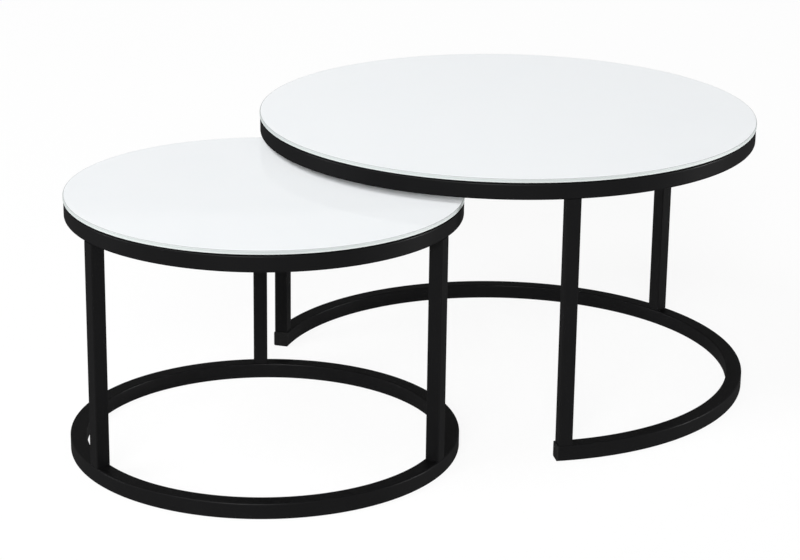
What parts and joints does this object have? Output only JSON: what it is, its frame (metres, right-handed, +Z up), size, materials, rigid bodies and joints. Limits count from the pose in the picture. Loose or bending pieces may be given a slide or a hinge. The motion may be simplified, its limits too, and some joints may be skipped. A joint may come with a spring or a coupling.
{
  "type": "nesting tables",
  "caption": "Pair of round coffee tables with white glass tops on black square-tube frames; the small one slides under the large one through its open base.",
  "frame": {"origin": "on the floor, at the middle of the pair's bounding box with the small table at its pictured place", "axes": "+Z up; +X from the small table to the large table, the way the small one is pushed in; +Y to the left of that"},
  "size_m": [1.1949, 0.8, 0.449],
  "materials": {
    "white_glass": "clear float glass lacquered white underneath, polished face, ground rounded edge",
    "black_lacquer": "satin black powder coat on square steel tube",
    "black_plastic": "moulded black plastic, fine matt grain",
    "clear_silicone": "clear soft silicone",
    "insert_nylon": "black glass-filled nylon",
    "zinc_steel": "bright zinc-plated steel"
  },
  "bodies": {
    "large_table": {"large_glass_top": "white_glass", "large_glass_bumpers": "clear_silicone", "large_top_ring": "black_lacquer", "large_back_leg": "black_lacquer", "large_left_leg": "black_lacquer", "large_right_leg": "black_lacquer", "large_leg_top_inserts": "insert_nylon", "large_leg_base_inserts": "insert_nylon", "large_top_washers": "zinc_steel", "large_top_screws": "zinc_steel", "large_base_washers": "zinc_steel", "large_base_screws": "zinc_steel", "large_base_arc": "black_lacquer", "large_left_arc_cap": "black_plastic", "large_right_arc_cap": "black_plastic", "large_floor_glides": "black_plastic"},
    "small_table": {"small_glass_top": "white_glass", "small_glass_bumpers": "clear_silicone", "small_top_ring": "black_lacquer", "small_back_leg": "black_lacquer", "small_left_leg": "black_lacquer", "small_right_leg": "black_lacquer", "small_leg_top_inserts": "insert_nylon", "small_leg_base_inserts": "insert_nylon", "small_top_washers": "zinc_steel", "small_top_screws": "zinc_steel", "small_base_washers": "zinc_steel", "small_base_screws": "zinc_steel", "small_floor_glides": "black_plastic", "small_base_ring": "black_lacquer"}
  },
  "joints": [
    {"name": "nest_slide", "type": "slide", "parent": "large_table", "child": "small_table", "axis": [1, 0, 0], "range_m": [-0.3, 0.56]}
  ]
}
